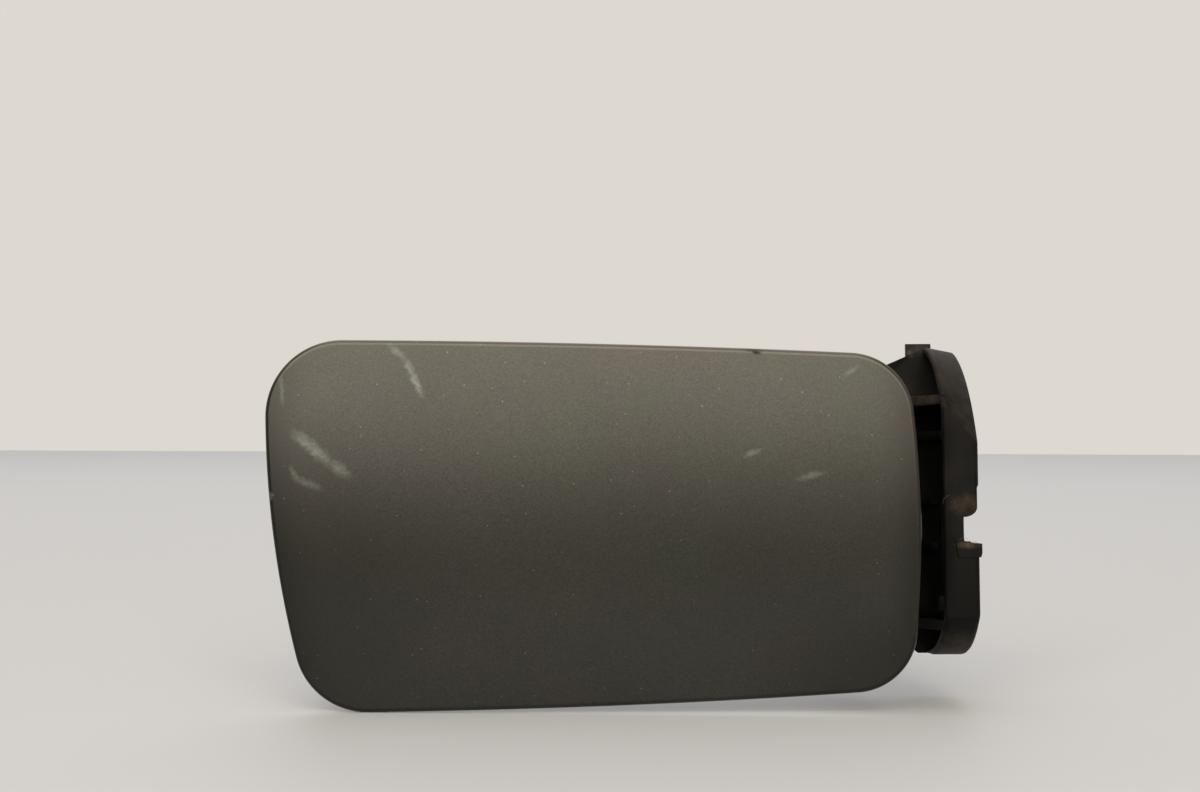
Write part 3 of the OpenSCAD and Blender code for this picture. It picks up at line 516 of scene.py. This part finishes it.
def mouldedPlastic(name, baseHex, dustHex, dustAmount, roughness, specular, dirtAndLightSpots=(), shadeSpots=()):
    # glass-filled nylon from a spark-eroded mould: fine even grain, dust where it faces up
    material, tree = newMaterial(name)
    place = addNode(tree, "ShaderNodeTexCoord").outputs["Object"]
    grain = addNode(tree, "ShaderNodeTexNoise", Vector=place, Scale=1 / (0.5 * mm), Detail=3.0)
    patches = addNode(tree, "ShaderNodeTexNoise", Vector=place, Scale=1 / (5 * mm), Detail=8.0, Roughness=0.7)
    facing = addNode(tree, "ShaderNodeNewGeometry").outputs["Normal"]
    up = addNode(tree, "ShaderNodeSeparateXYZ", Vector=facing).outputs["Z"]
    upMask = addNode(tree, "ShaderNodeMapRange", Value=up, From_Min=-0.05, From_Max=0.35, To_Min=0.1)
    patchMask = addNode(tree, "ShaderNodeMapRange", Value=patches.outputs["Fac"],
                        From_Min=0.4, From_Max=0.64, To_Min=0.15)
    dustAndLight = addNode(tree, "ShaderNodeMath", {"operation": "MULTIPLY"}, [upMask.outputs[0], dustAmount]).outputs[0]
    # the listed spots: dirt, and on the housing's underside painted bounce light
    dustAndLight = strongest(tree, [dustAndLight] + [spotMask(tree, place, spot) for spot in dirtAndLightSpots])
    patchy = addNode(tree, "ShaderNodeMath", {"operation": "MULTIPLY"}, [dustAndLight, patchMask.outputs[0]])
    colour = addNode(tree, "ShaderNodeMix", {"data_type": "RGBA"},
                     Factor=patchy.outputs[0], A=baseHex, B=dustHex).outputs["Result"]
    shine = specular
    if shadeSpots:
        # painted shade inside the housing: black and dead matt
        filmAndShade = strongest(tree, [spotMask(tree, place, spot) for spot in shadeSpots])
        colour = addNode(tree, "ShaderNodeMix", {"data_type": "RGBA"},
                         Factor=filmAndShade, A=colour, B="#060505").outputs["Result"]
        shine = addNode(tree, "ShaderNodeMapRange", Value=filmAndShade, From_Max=0.8,
                        To_Min=specular, To_Max=0.01).outputs[0]
    bump = addNode(tree, "ShaderNodeBump", Height=grain.outputs["Fac"], Strength=0.35, Distance=0.04 * mm)
    shader = addNode(tree, "ShaderNodeBsdfPrincipled", Base_Color=colour, Roughness=roughness,
                     Specular_IOR_Level=shine, Normal=bump.outputs[0])
    addNode(tree, "ShaderNodeOutputMaterial", Surface=shader.outputs[0])
    return material


def platedSteel(name, brightHex, dullHex, roughness):
    # zinc or plain steel, a few years old: pale metal with duller clouds
    material, tree = newMaterial(name)
    place = addNode(tree, "ShaderNodeTexCoord").outputs["Object"]
    clouds = addNode(tree, "ShaderNodeTexNoise", Vector=place, Scale=1 / (3 * mm), Detail=5.0).outputs["Fac"]
    colour = addNode(tree, "ShaderNodeMix", {"data_type": "RGBA"}, Factor=clouds, A=brightHex, B=dullHex)
    sheenAndWear = addNode(tree, "ShaderNodeMapRange", Value=clouds,
                   From_Min=0.3, From_Max=0.7, To_Min=roughness - 0.08, To_Max=roughness + 0.12)
    shader = addNode(tree, "ShaderNodeBsdfPrincipled", Base_Color=colour.outputs["Result"],
                     Metallic=1.0, Roughness=sheenAndWear.outputs[0])
    addNode(tree, "ShaderNodeOutputMaterial", Surface=shader.outputs[0])
    return material


def mouldedRubber():
    # carbon-black rubber: deep black with a dull bloom
    material, tree = newMaterial("mouldedRubber")
    place = addNode(tree, "ShaderNodeTexCoord").outputs["Object"]
    bloom = addNode(tree, "ShaderNodeTexNoise", Vector=place, Scale=1 / (2.5 * mm), Detail=4.0)
    colour = addNode(tree, "ShaderNodeMix", {"data_type": "RGBA"},
                     Factor=bloom.outputs["Fac"], A="#151515", B="#2b2a28")
    shader = addNode(tree, "ShaderNodeBsdfPrincipled", Base_Color=colour.outputs["Result"], Roughness=0.8)
    addNode(tree, "ShaderNodeOutputMaterial", Surface=shader.outputs[0])
    return material


def roadDust():
    # dried road dirt in crumbs: brown to grey, quite matt, each crumb its own tone
    material, tree = newMaterial("roadDust")
    place = addNode(tree, "ShaderNodeTexCoord").outputs["Object"]
    crumbs = addNode(tree, "ShaderNodeTexVoronoi", Vector=place, Scale=1 / (0.4 * mm))
    tone = addNode(tree, "ShaderNodeSeparateColor", Color=crumbs.outputs["Color"]).outputs["Red"]
    colour = addNode(tree, "ShaderNodeMix", {"data_type": "RGBA"}, Factor=tone, A="#1f1a15", B="#4a4236")
    shader = addNode(tree, "ShaderNodeBsdfPrincipled", Base_Color=colour.outputs["Result"],
                     Roughness=0.95, Specular_IOR_Level=0.1)
    addNode(tree, "ShaderNodeOutputMaterial", Surface=shader.outputs[0])
    return material


def lint():
    # a few dark textile fibres, faintly lit along their length
    material, tree = newMaterial("lint")
    place = addNode(tree, "ShaderNodeTexCoord").outputs["Object"]
    # the pale along the fibres is a painted highlight
    sheenAndWear = addNode(tree, "ShaderNodeTexNoise", Vector=place, Scale=1 / (0.8 * mm))
    colour = addNode(tree, "ShaderNodeMix", {"data_type": "RGBA"},
                     Factor=sheenAndWear.outputs["Fac"], A="#171412", B="#7a7368")
    shader = addNode(tree, "ShaderNodeBsdfPrincipled", Base_Color=colour.outputs["Result"], Roughness=0.7)
    addNode(tree, "ShaderNodeOutputMaterial", Surface=shader.outputs[0])
    return material


# pieces grown by geometry nodes

def nodeGroup(name, inputs):
    # a tree with its named inputs; returns it with the input and output sockets
    tree = bpy.data.node_groups.new(name, "GeometryNodeTree")
    tree.interface.new_socket("Geometry", in_out="INPUT", socket_type="NodeSocketGeometry")
    for label, (kind, _) in inputs.items():
        tree.interface.new_socket(label, in_out="INPUT", socket_type=kind)
    tree.interface.new_socket("Geometry", in_out="OUTPUT", socket_type="NodeSocketGeometry")
    return tree, addNode(tree, "NodeGroupInput").outputs, addNode(tree, "NodeGroupOutput").inputs


def grownPiece(name, mesh, tree, inputs, body, sharpAngle):
    # the tree's result kept as a plain mesh
    piece = newObject(name, mesh)
    modifier = piece.modifiers.new(name, "NODES")
    modifier.node_group = tree
    for item in tree.interface.items_tree:
        if item.in_out == "INPUT" and item.name in inputs:
            modifier[item.identifier] = inputs[item.name][1]
    applyModifiers(piece)
    piece.data.name = name
    smoothFaces(piece.data)
    piece.data.set_sharp_from_angle(angle=math.radians(sharpAngle))
    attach(piece, body)
    return piece


armScrews = {
    "nodes": ("arm_screw_1", "arm_screw_2", "arm_screw_3", "arm_screw_4"),
    "radius": 2.5,
    "headRadius": 5.0,
    "headHeight": 2.6,
    "socketRadius": 1.75,
    "socketDepth": 1.4,
    "profile": [(0.0, 1.0), (0.23, 1.0), (0.55, 0.93), (0.85, 0.82), (1.0, 0.75)],  # height, share of the radius
    "sharpAngle": 30,
    "seed": 4,
}


def screwTree(inputs, profile, material):
    # a socket-head screw on every point, each stopped at its own turn
    tree, given, result = nodeGroup("screws", inputs)
    head = addNode(tree, "GeometryNodeMeshCylinder", Vertices=64, Side_Segments=14, Fill_Segments=2,
                   Radius=given["Head Radius"], Depth=given["Head Height"])
    place = addNode(tree, "GeometryNodeInputPosition").outputs[0]
    high = addNode(tree, "ShaderNodeSeparateXYZ", Vector=place).outputs["Z"]
    share = addNode(tree, "ShaderNodeMath", {"operation": "DIVIDE"}, [high, given["Head Height"]])
    along = addNode(tree, "ShaderNodeMath", {"operation": "ADD", "use_clamp": True}, [share.outputs[0], 0.5])
    curve = addNode(tree, "ShaderNodeFloatCurve", Value=along.outputs[0])
    points = curve.mapping.curves[0].points
    points[0].location, points[-1].location = profile[0], profile[-1]
    for x, y in profile[1:-1]:
        points.new(x, y)
    curve.mapping.update()
    narrow = addNode(tree, "ShaderNodeCombineXYZ", X=curve.outputs[0], Y=curve.outputs[0], Z=1.0)
    domed = addNode(tree, "ShaderNodeVectorMath", {"operation": "MULTIPLY"}, [place, narrow.outputs[0]])
    turned = addNode(tree, "GeometryNodeSetPosition", Geometry=head.outputs["Mesh"], Position=domed.outputs[0])
    # the socket
    depth = addNode(tree, "ShaderNodeMath", {"operation": "MULTIPLY"}, [given["Socket Depth"], 2.0])
    socket = addNode(tree, "GeometryNodeMeshCylinder", Vertices=6,
                     Radius=given["Socket Radius"], Depth=depth.outputs[0])
    half = addNode(tree, "ShaderNodeMath", {"operation": "MULTIPLY"}, [given["Head Height"], 0.5])
    lift = addNode(tree, "ShaderNodeCombineXYZ", Z=half.outputs[0])
    lifted = addNode(tree, "GeometryNodeTransform", Geometry=socket.outputs["Mesh"], Translation=lift.outputs[0])
    cut = addNode(tree, "GeometryNodeMeshBoolean", {"operation": "DIFFERENCE"},
                  Mesh_1=turned.outputs[0], Mesh_2=lifted.outputs[0])
    # the shank
    shank = addNode(tree, "GeometryNodeMeshCylinder", Vertices=40,
                    Radius=given["Shank Radius"], Depth=given["Shank Length"])
    length = addNode(tree, "ShaderNodeMath", {"operation": "ADD"}, [given["Head Height"], given["Shank Length"]])
    down = addNode(tree, "ShaderNodeMath", {"operation": "MULTIPLY"}, [length.outputs[0], -0.5])
    drop = addNode(tree, "ShaderNodeCombineXYZ", Z=down.outputs[0])
    dropped = addNode(tree, "GeometryNodeTransform", Geometry=shank.outputs["Mesh"], Translation=drop.outputs[0])
    screw = addNode(tree, "GeometryNodeJoinGeometry")
    tree.links.new(cut.outputs["Mesh"], screw.inputs[0])
    tree.links.new(dropped.outputs[0], screw.inputs[0])
    placed = addNode(tree, "GeometryNodeInstanceOnPoints", Points=given["Geometry"], Instance=screw.outputs[0],
                     Rotation=(math.radians(-90), 0, 0))
    turn = addNode(tree, "FunctionNodeRandomValue", {"data_type": "FLOAT"}, Max=2 * math.pi, Seed=given["Seed"])
    spin = addNode(tree, "ShaderNodeCombineXYZ", Z=turn.outputs["Value"])
    spun = addNode(tree, "GeometryNodeRotateInstances", Instances=placed.outputs[0], Rotation=spin.outputs[0])
    real = addNode(tree, "GeometryNodeRealizeInstances", Geometry=spun.outputs[0])
    dressed = addNode(tree, "GeometryNodeSetMaterial", Geometry=real.outputs[0], Material=material)
    tree.links.new(dressed.outputs[0], result[0])
    return tree


def makeArmScrews(material):
    size = armScrews
    boxes = [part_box(name) for name in size["nodes"]]
    points = [((low.x + high.x) / 2, high.y - size["headHeight"] / 2 * mm, (low.z + high.z) / 2)
              for low, high in boxes]
    shankLength = boxes[0][1].y - boxes[0][0].y - size["headHeight"] * mm
    inputs = {
        "Head Radius": ("NodeSocketFloat", size["headRadius"] * mm),
        "Head Height": ("NodeSocketFloat", size["headHeight"] * mm),
        "Socket Radius": ("NodeSocketFloat", size["socketRadius"] * mm),
        "Socket Depth": ("NodeSocketFloat", size["socketDepth"] * mm),
        "Shank Radius": ("NodeSocketFloat", size["radius"] * mm),
        "Shank Length": ("NodeSocketFloat", shankLength),
        "Seed": ("NodeSocketInt", size["seed"]),
    }
    mesh = bpy.data.meshes.new("armScrewPoints")
    mesh.from_pydata(points, [], [])
    tree = screwTree(inputs, size["profile"], material)
    piece = grownPiece("armScrews", mesh, tree, inputs, "flap", size["sharpAngle"])
    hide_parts(*size["nodes"])
    return piece


grit = {
    "crumbsPerSquareMm": 2.2,
    "crumbSize": (0.06, 0.24),
    "fibresPerSquareMm": 0.08,
    "fibreRadius": 0.035,
    "fibreBow": 2.4,        # radius of a fibre's curl
    "fibreSweep": 110,      # and how far it goes round, in degrees
    "keepOff": 2.5,         # clear of the housing's outer limits
    "sharpAngle": 60,
    "seed": 11,
}


def makeGrit(housing, dustMaterial, lintMaterial):
    # crumbs and fibres lying where the dirt has settled
    square = mm * mm
    inputs = {
        "Crumb Density": ("NodeSocketFloat", grit["crumbsPerSquareMm"] / square),
        "Smallest Crumb": ("NodeSocketFloat", grit["crumbSize"][0] * mm),
        "Largest Crumb": ("NodeSocketFloat", grit["crumbSize"][1] * mm),
        "Fibre Density": ("NodeSocketFloat", grit["fibresPerSquareMm"] / square),
        "Fibre Radius": ("NodeSocketFloat", grit["fibreRadius"] * mm),
        "Fibre Bow": ("NodeSocketFloat", grit["fibreBow"] * mm),
        "Seed": ("NodeSocketInt", grit["seed"]),
    }
    tree, given, result = nodeGroup("settledDirt", inputs)
    place = addNode(tree, "GeometryNodeInputPosition").outputs[0]
    mask = strongest(tree, [spotMask(tree, place, spot) for spot in housingDirtAndLight[:crumbPatches]])
    # nothing lies past the flange's back or the lug's tip
    own = addNode(tree, "ShaderNodeSeparateXYZ", Vector=place).outputs
    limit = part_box("hinge_box")[1]
    for axis, most in (("X", limit.x), ("Y", limit.y)):
        inside = addNode(tree, "ShaderNodeMath", {"operation": "LESS_THAN"}, [own[axis], most - grit["keepOff"] * mm])
        mask = addNode(tree, "ShaderNodeMath", {"operation": "MULTIPLY"}, [mask, inside.outputs[0]]).outputs[0]
    crumb = addNode(tree, "GeometryNodeMeshIcoSphere", Radius=1.0, Subdivisions=1)
    bow = addNode(tree, "GeometryNodeCurveArc", {"mode": "RADIUS"}, Resolution=14,
                  Radius=given["Fibre Bow"], Sweep_Angle=math.radians(grit["fibreSweep"]))
    section = addNode(tree, "GeometryNodeCurvePrimitiveCircle", {"mode": "RADIUS"}, Resolution=6,
                      Radius=given["Fibre Radius"])
    fibre = addNode(tree, "GeometryNodeCurveToMesh", Curve=bow.outputs[0], Profile_Curve=section.outputs[0])
    both = addNode(tree, "GeometryNodeJoinGeometry")

    def scatter(density, seedShift, shape, material, mostTurn, sized):
        # scattered evenly, then thinned to the patches
        seed = addNode(tree, "ShaderNodeMath", {"operation": "ADD"}, [given["Seed"], seedShift]).outputs[0]
        thinSeed = addNode(tree, "ShaderNodeMath", {"operation": "ADD"}, [seed, 1]).outputs[0]
        spread = addNode(tree, "GeometryNodeDistributePointsOnFaces",
                         Mesh=given["Geometry"], Density=density, Seed=seed)
        chance = addNode(tree, "FunctionNodeRandomValue", {"data_type": "FLOAT"}, Seed=thinSeed)
        bare = addNode(tree, "ShaderNodeMath", {"operation": "GREATER_THAN"}, [chance.outputs["Value"], mask])
        kept = addNode(tree, "GeometryNodeDeleteGeometry", {"domain": "POINT"},
                       Geometry=spread.outputs["Points"], Selection=bare.outputs[0])
        placed = addNode(tree, "GeometryNodeInstanceOnPoints",
                         Points=kept.outputs[0], Instance=shape, Rotation=spread.outputs["Rotation"])
        if sized:
            size = addNode(tree, "FunctionNodeRandomValue", {"data_type": "FLOAT"},
                           Min=given["Smallest Crumb"], Max=given["Largest Crumb"], Seed=seed)
            tree.links.new(size.outputs["Value"], placed.inputs["Scale"])
        turn = addNode(tree, "FunctionNodeRandomValue", {"data_type": "FLOAT_VECTOR"},
                       Min=(0, 0, 0), Max=mostTurn, Seed=seed)
        spun = addNode(tree, "GeometryNodeRotateInstances",
                       Instances=placed.outputs[0], Rotation=turn.outputs["Value"])
        real = addNode(tree, "GeometryNodeRealizeInstances", Geometry=spun.outputs[0])
        dressed = addNode(tree, "GeometryNodeSetMaterial", Geometry=real.outputs[0], Material=material)
        tree.links.new(dressed.outputs[0], both.inputs[0])

    scatter(given["Crumb Density"], 0, crumb.outputs[0], dustMaterial, (math.pi, math.pi, 2 * math.pi), True)
    scatter(given["Fibre Density"], 7, fibre.outputs[0], lintMaterial, (0, 0, 2 * math.pi), False)
    tree.links.new(both.outputs[0], result[0])
    return grownPiece("settledDirt", housing.data.copy(), tree, inputs, "housing",
                      grit["sharpAngle"])


# floor, lights and world

studio = {
    "floorColour": "#bababb",
    "farFloorColour": "#c2c2c4",
    "farColourAt": 1400,    # how far back the floor has its far colour
    "wallColour": "#ddd8d0",
    "floorTilt": 2.87,      # the table rises this much behind the leaning flap, in degrees
    "floorFall": 0.6,       # and falls this much towards the hinge
    "floorFar": 2650,
    "floorNear": -1000,
    "floorHalfWide": 3500,
    "contactBehind": 2,     # the flap stands on the floor this far behind its face
    "floorGap": 0.1,
    "fillColour": "#f2f0ec",
    "fill": 0.32,
    "flagAt": -1400,        # a black card behind the camera, as an unlit room would be
    "flagTop": 50,
    "flagFoot": -180,
}
ceiling = {"elevation": 87, "azimuth": -12, "spread": 60, "strength": 1.15}
frontBox = {
    "at": (-400, -3000, 1600),
    "aim": (-400, -40, 0),
    "size": (3700, 2900),
    "brightness": 4.3,
    "colour": "#fff6e6",
}
backBox = {
    "at": (-95, 1900, 2200),
    "aim": (-95, 0, 0),
    "size": (2400, 1500),
    "brightness": 1.1,
    "colour": "#fbfbff",
}


def makeFloor():
    slope, fall = (math.tan(math.radians(studio[key])) for key in ("floorTilt", "floorFall"))
    touch = min(flapOutline(0), key=lambda p: p.y)
    contactY = faceY + studio["contactBehind"]
    corners = []
    for side, y in ((-1, "floorNear"), (1, "floorNear"), (1, "floorFar"), (-1, "floorFar")):
        x, away = side * studio["floorHalfWide"], studio[y]
        z = touch.y - studio["floorGap"] + (away - contactY) * slope - (x - touch.x) * fall
        corners.append((x * mm, away * mm, z * mm))
    # a painted table: pale, matt and even
    material, tree = newMaterial("paleTable")
    place = addNode(tree, "ShaderNodeTexCoord").outputs["Object"]
    away = addNode(tree, "ShaderNodeSeparateXYZ", Vector=place).outputs["Y"]
    far = addNode(tree, "ShaderNodeMapRange", Value=away, From_Max=studio["farColourAt"] * mm)
    colour = addNode(tree, "ShaderNodeMix", {"data_type": "RGBA"},
                     Factor=far.outputs[0], A=studio["floorColour"], B=studio["farFloorColour"])
    shader = addNode(tree, "ShaderNodeBsdfPrincipled", Base_Color=colour.outputs["Result"], Roughness=0.6)
    addNode(tree, "ShaderNodeOutputMaterial", Surface=shader.outputs[0])
    meshObject("floor", corners, [(0, 1, 2, 3)], material)


def makeFlag():
    wide, y = studio["floorHalfWide"] * mm, studio["flagAt"] * mm
    low, top = studio["flagFoot"] * mm, studio["flagTop"] * mm
    corners = [(-wide, y, low), (wide, y, low), (wide, y, top), (-wide, y, top)]
    # matt black card: takes the light away and shows nothing
    material, tree = newMaterial("blackCard")
    shader = addNode(tree, "ShaderNodeBsdfPrincipled", Base_Color="#101010", Roughness=0.9)
    addNode(tree, "ShaderNodeOutputMaterial", Surface=shader.outputs[0])
    flag = meshObject("flag", corners, [(0, 1, 2, 3)], material)
    flag.visible_camera = False


def makeWorld():
    # pale where it is seen or mirrored, dimmer as fill light
    world = bpy.data.worlds.new("room")
    world.use_nodes = True
    tree = world.node_tree
    tree.nodes.clear()
    seen = addNode(tree, "ShaderNodeBackground", Color=studio["wallColour"], Strength=1.0)
    fill = addNode(tree, "ShaderNodeBackground", Color=studio["fillColour"], Strength=studio["fill"])
    rays = addNode(tree, "ShaderNodeLightPath").outputs
    direct = strongest(tree, [rays[key] for key in ("Is Camera Ray", "Is Glossy Ray", "Is Transmission Ray")])
    mix = addNode(tree, "ShaderNodeMixShader", None, [direct, fill.outputs[0], seen.outputs[0]])
    addNode(tree, "ShaderNodeOutputWorld", Surface=mix.outputs[0])
    bpy.context.scene.world = world


def makeSoftbox(name, box):
    data = bpy.data.lights.new(name, "AREA")
    data.shape = "RECTANGLE"
    data.size, data.size_y = (side * mm for side in box["size"])
    data.energy = box["brightness"] * math.pi * data.size * data.size_y
    data.color = hexToLinear(box["colour"])[:3]
    lamp = newObject(name, data)
    lamp.location = Vector(box["at"]) * mm
    lamp.rotation_euler = (Vector(box["aim"]) - Vector(box["at"])).to_track_quat("-Z", "Y").to_euler()
    lamp.visible_camera = False


def makeLamps():
    # a wide soft light high above, as a row of ceiling lamps gives
    data = bpy.data.lights.new("ceiling", "SUN")
    data.angle = math.radians(ceiling["spread"])
    data.energy = ceiling["strength"]
    lamp = newObject("ceiling", data)
    lamp.rotation_euler = (math.radians(90 - ceiling["elevation"]), 0, math.radians(ceiling["azimuth"]))
    # a bright wall behind the camera, and a dimmer one high behind the flap
    makeSoftbox("frontBox", frontBox)
    makeSoftbox("backBox", backBox)


makeCamera()
paintFinish = metallicPaint()
panelFinish = overspray()
# both nylons are coloured black inside the housing as painted shade
housingFinish = mouldedPlastic("glassFilledNylon", "#0b0b0a", "#4d4033", 0.20, 0.5, 0.08, housingDirtAndLight, insideShadeSpots)
armFinish = mouldedPlastic("armNylon", "#0b0b0b", "#3a352d", 0.08, 0.55, 0.1, shadeSpots=insideShadeSpots)
fittingFinish = mouldedPlastic("acetal", "#161616", "#57534a", 0.08, 0.42, 0.2)
rubberFinish = mouldedRubber()
zincFinish = platedSteel("zincPlate", "#b9b6ab", "#8f8a7c", 0.38)
springFinish = platedSteel("springSteel", "#8c8880", "#5d564c", 0.35)
print("materials made")

skin = makeOuterSkin(paintFinish)
print("outer skin made:", len(skin.data.vertices), "points")

# material, width of the broken edges, and the angle from which an edge counts as sharp
finishes = {
    "inner_panel": (panelFinish, 0, 40),
    "hinge_plate": (zincFinish, 0.15 * mm, 32),
    "hinge_box": (housingFinish, 0.25 * mm, 14),
    "gooseneck_arm": (armFinish, 0.3 * mm, 32),
    "leaf_spring": (springFinish, 0.05 * mm, 32),
    "stop_buffer": (rubberFinish, 0.15 * mm, 32),
    "buffer_upper": (rubberFinish, 0.2 * mm, 32),
    "buffer_lower": (rubberFinish, 0.2 * mm, 32),
    "latch_tongue": (fittingFinish, 0.25 * mm, 32),
    "cap_holder": (fittingFinish, 0.3 * mm, 32),
}
smallMetal = (zincFinish, 0.1 * mm, 32)
softened = {}
for nodeName in frame["nodes"]:
    if nodeName != "outer_skin" and nodeName not in armScrews["nodes"]:
        softened[nodeName] = softenedCopy(nodeName, *finishes.get(nodeName, smallMetal))
print("CAD pieces finished")

screws = makeArmScrews(zincFinish)
print("arm screws grown:", len(screws.data.polygons), "faces")
dirtPiece = makeGrit(softened["hinge_box"], roadDust(), lint())
print("settled dirt grown:", len(dirtPiece.data.polygons), "faces")

makeFloor()
makeFlag()
makeWorld()
makeLamps()
bpy.context.scene.view_settings.view_transform = "Standard"
